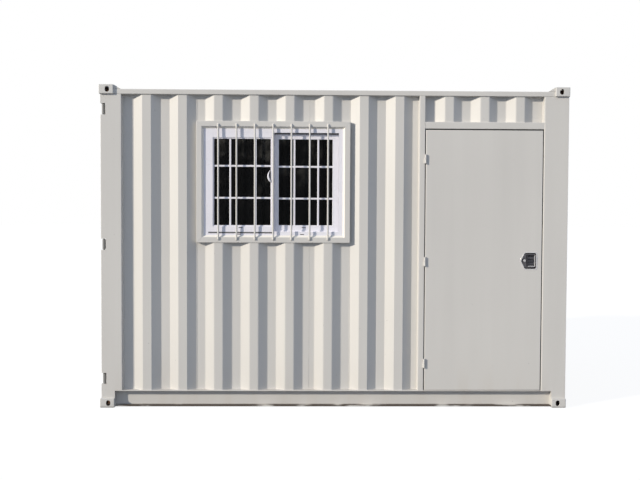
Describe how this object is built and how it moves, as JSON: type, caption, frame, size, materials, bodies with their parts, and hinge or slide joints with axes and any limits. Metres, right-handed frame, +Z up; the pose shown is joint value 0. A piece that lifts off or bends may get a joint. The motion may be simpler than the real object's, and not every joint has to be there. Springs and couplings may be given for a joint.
{
  "type": "storage container",
  "caption": "Small corrugated steel storage container with a barred sliding window and a hinged side door in one long wall, and a pair of cargo doors in one end.",
  "frame": {"origin": "on the ground, in the middle of the plan, under the middle of the box", "axes": "+Z up; +X along the length, away from the cargo doors; the wall with the window and the side door faces -Y"},
  "size_m": [3.25, 2.18, 2.235],
  "materials": {
    "painted_steel": "satin light grey paint",
    "floor_boards": "worn plywood",
    "hinge_steel": "painted, worn at the joint",
    "lock_gear": "galvanised and painted",
    "latch_chrome": "bright plated",
    "latch_handle": "brushed",
    "door_seal": "matte black",
    "window_plastic": "white",
    "window_glass": "clear"
  },
  "bodies": {
    "container": {"corner_castings": "painted_steel", "corner_gussets": "painted_steel", "door_end_posts": "painted_steel", "closed_end_posts": "painted_steel", "top_side_rails": "painted_steel", "bottom_side_rails": "painted_steel", "top_end_rails": "painted_steel", "bottom_end_rails": "painted_steel", "cross_members": "painted_steel", "floor": "floor_boards", "roof": "painted_steel", "front_wall_left": "painted_steel", "front_wall_below_window": "painted_steel", "front_wall_above_window": "painted_steel", "front_wall_middle": "painted_steel", "front_wall_over_door": "painted_steel", "rear_wall": "painted_steel", "end_wall": "painted_steel", "door_jamb": "painted_steel", "door_head": "painted_steel", "door_stop": "painted_steel", "side_door_hinge_pins": "hinge_steel", "cargo_hinge_pins": "lock_gear", "rod_keepers": "lock_gear", "guard_frame": "painted_steel", "guard_bars": "painted_steel", "window_frame": "window_plastic", "window_sash_left": "window_plastic", "window_sash_right": "window_plastic", "window_pane_left": "window_glass", "window_pane_right": "window_glass"},
    "side_door": {"side_door_leaf": "painted_steel", "side_door_knuckles": "hinge_steel", "latch_dish": "latch_chrome", "latch_paddle": "latch_handle"},
    "front_cargo_door": {"front_cargo_leaf": "painted_steel", "front_cargo_hinges": "lock_gear", "front_cargo_rods": "lock_gear", "front_cargo_guides": "lock_gear", "front_cargo_seal": "door_seal"},
    "rear_cargo_door": {"rear_cargo_leaf": "painted_steel", "rear_cargo_hinges": "lock_gear", "rear_cargo_rods": "lock_gear", "rear_cargo_guides": "lock_gear", "rear_cargo_seal": "door_seal"}
  },
  "joints": [
    {"name": "side_door_hinge", "type": "hinge", "parent": "container", "child": "side_door", "pos_m": [0.627, -1.0815, 1.032], "axis": [0, 0, -1], "range_deg": [0, 165]},
    {"name": "front_cargo_hinge", "type": "hinge", "parent": "container", "child": "front_cargo_door", "pos_m": [-1.599, -1.056, 1.135], "axis": [0, 0, 1], "range_deg": [0, 180]},
    {"name": "rear_cargo_hinge", "type": "hinge", "parent": "container", "child": "rear_cargo_door", "pos_m": [-1.599, 1.056, 1.135], "axis": [0, 0, -1], "range_deg": [0, 180]}
  ]
}
